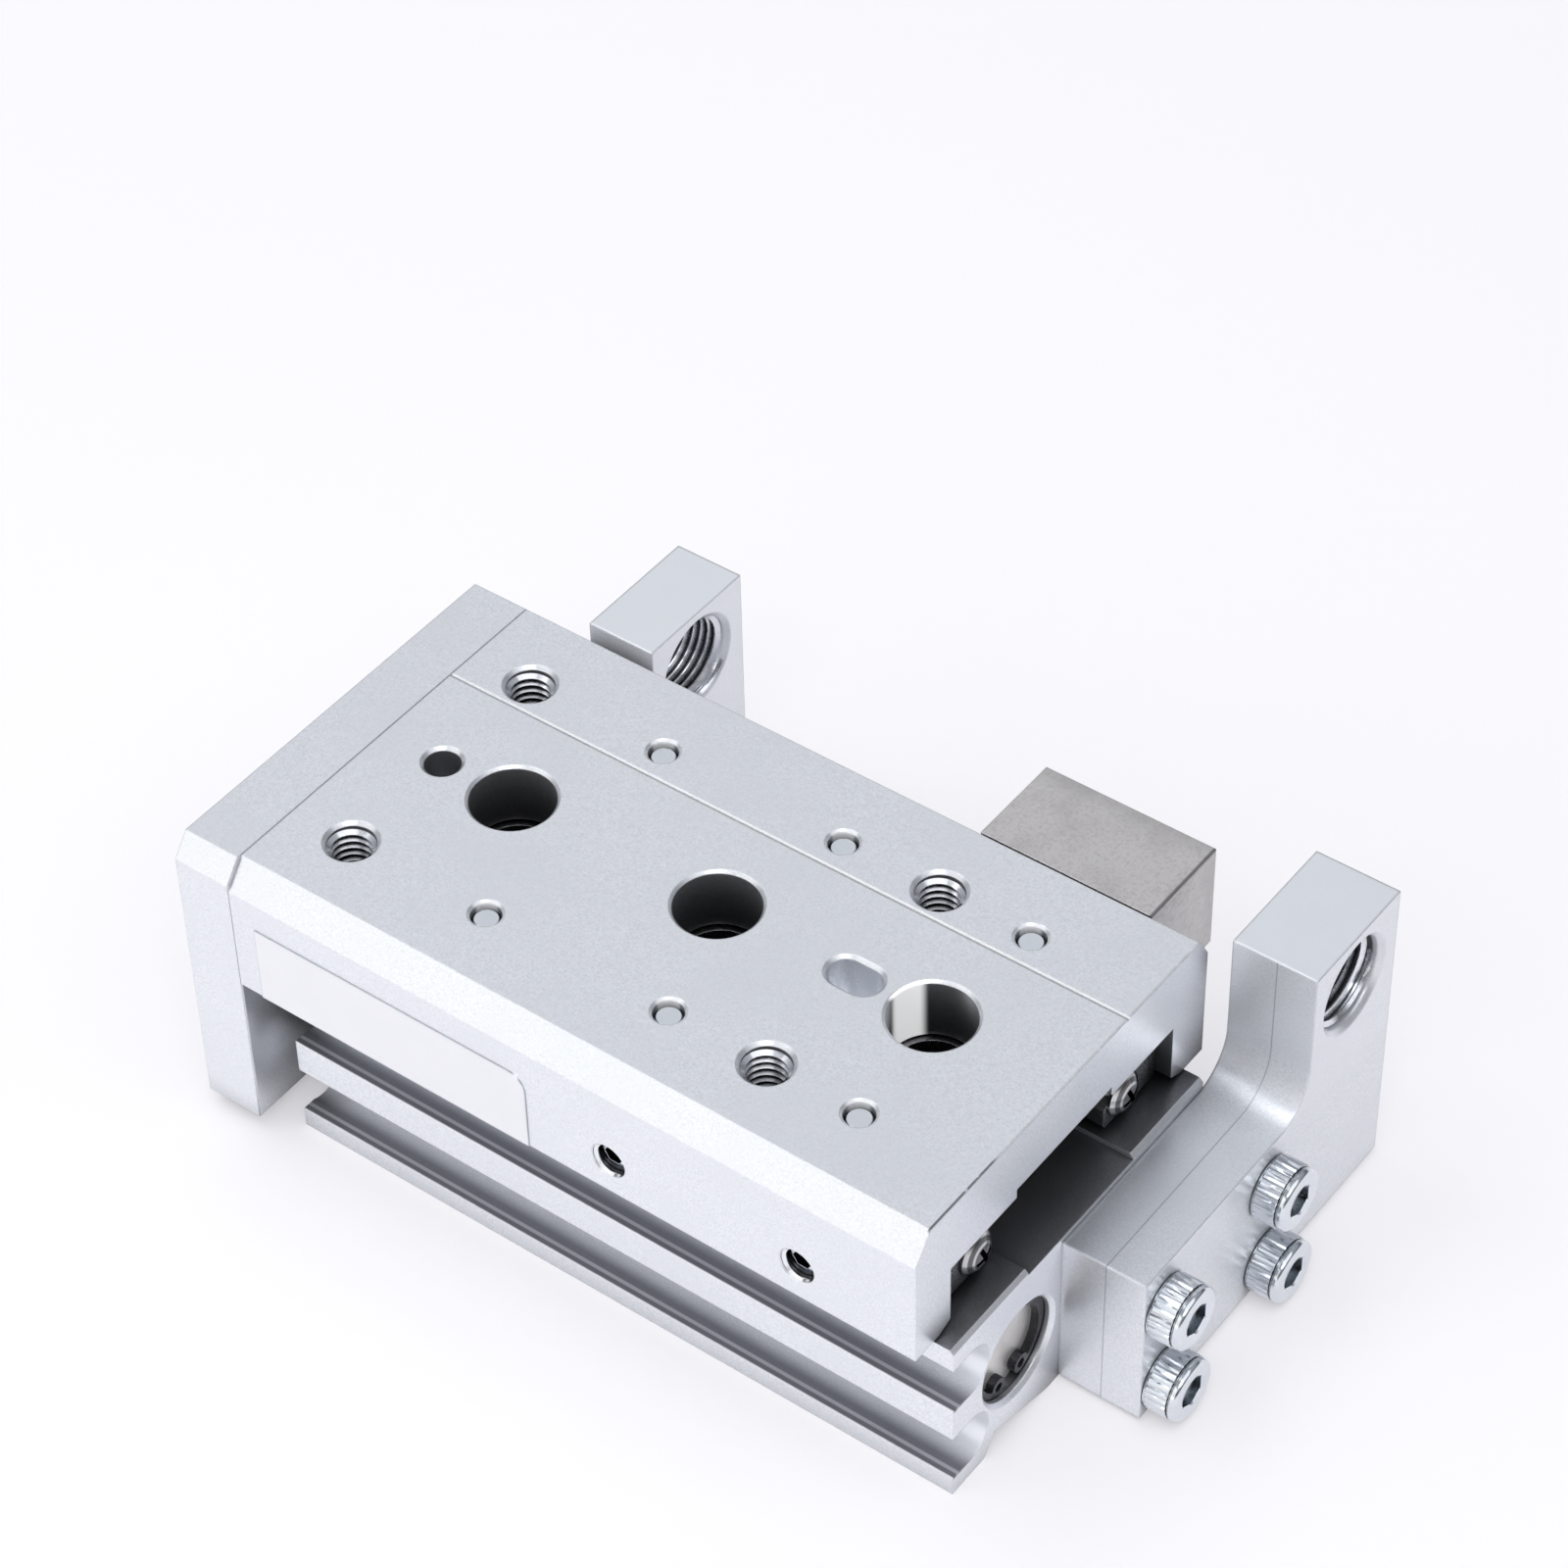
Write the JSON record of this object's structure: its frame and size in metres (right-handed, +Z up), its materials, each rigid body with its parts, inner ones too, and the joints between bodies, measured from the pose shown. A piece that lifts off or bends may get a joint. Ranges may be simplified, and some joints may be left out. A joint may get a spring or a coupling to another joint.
{
  "type": "pneumatic slide table",
  "caption": "Compact air slide table: twin-bore cylinder body, cross-roller guided table with end plate, side stopper block and an adjuster holder at each end.",
  "frame": {"origin": "middle base-mounting hole on the bottom face of the cylinder body", "axes": "+X along the stroke, from the end plate to the rear holder; the table extends towards -X; +Y towards the side with the stopper block, holders and air ports; +Z up, out of the table's top face"},
  "size_m": [0.0826, 0.0506, 0.0295],
  "materials": {
    "anodised_aluminium": "clear anodised, fine matte grain",
    "cover_aluminium": "turned, bare",
    "guide_steel": "hardened and ground",
    "zinc_screws": "bright zinc plate",
    "nickel_steel": "nickel plated, brushed",
    "black_spring_steel": "black phosphate",
    "bearing_bronze": "turned bronze",
    "cage_brass": "stamped sheet",
    "rubber": "moulded, matte",
    "magnet": "sintered, matte",
    "label_film": "blank satin film"
  },
  "bodies": {
    "cylinder": {"cylinder_body": "anodised_aluminium", "guide_block": "guide_steel", "guide_block_screws": "zinc_screws", "head_covers": "cover_aluminium", "head_cover_o_rings": "rubber", "rod_covers": "bearing_bronze", "rod_cover_o_rings": "rubber", "rod_seals": "rubber", "retaining_rings": "black_spring_steel", "front_bumpers": "rubber", "rear_bumpers": "rubber", "rear_holder": "anodised_aluminium", "rear_holder_screws": "zinc_screws", "front_holder": "anodised_aluminium", "front_holder_screws": "zinc_screws"},
    "slide_table": {"table": "anodised_aluminium", "rail_near": "guide_steel", "rail_far": "guide_steel", "rail_screws": "zinc_screws", "rail_stop_screws": "zinc_screws", "preload_set_screws": "zinc_screws", "end_plate": "anodised_aluminium", "end_plate_screws": "zinc_screws", "piston_rods": "guide_steel", "rod_screws": "zinc_screws", "pistons": "cover_aluminium", "piston_seals": "rubber", "piston_magnets": "magnet", "stopper_block": "nickel_steel", "stopper_block_screws": "zinc_screws", "label_blank": "label_film"},
    "near_cage": {"roller_cage_near": "cage_brass", "rollers_near": "guide_steel"},
    "far_cage": {"roller_cage_far": "cage_brass", "rollers_far": "guide_steel"}
  },
  "joints": [
    {"name": "table_slide", "type": "slide", "parent": "cylinder", "child": "slide_table", "axis": [-1, 0, 0], "range_m": [0, 0.03]},
    {"name": "near_cage_slide", "type": "slide", "parent": "cylinder", "child": "near_cage", "axis": [-1, 0, 0], "range_m": [0, 0.015]},
    {"name": "far_cage_slide", "type": "slide", "parent": "cylinder", "child": "far_cage", "axis": [-1, 0, 0], "range_m": [0, 0.015]}
  ],
  "couplings": [
    {"joint": "near_cage_slide", "follows": "table_slide", "ratio": 0.5},
    {"joint": "far_cage_slide", "follows": "table_slide", "ratio": 0.5}
  ]
}
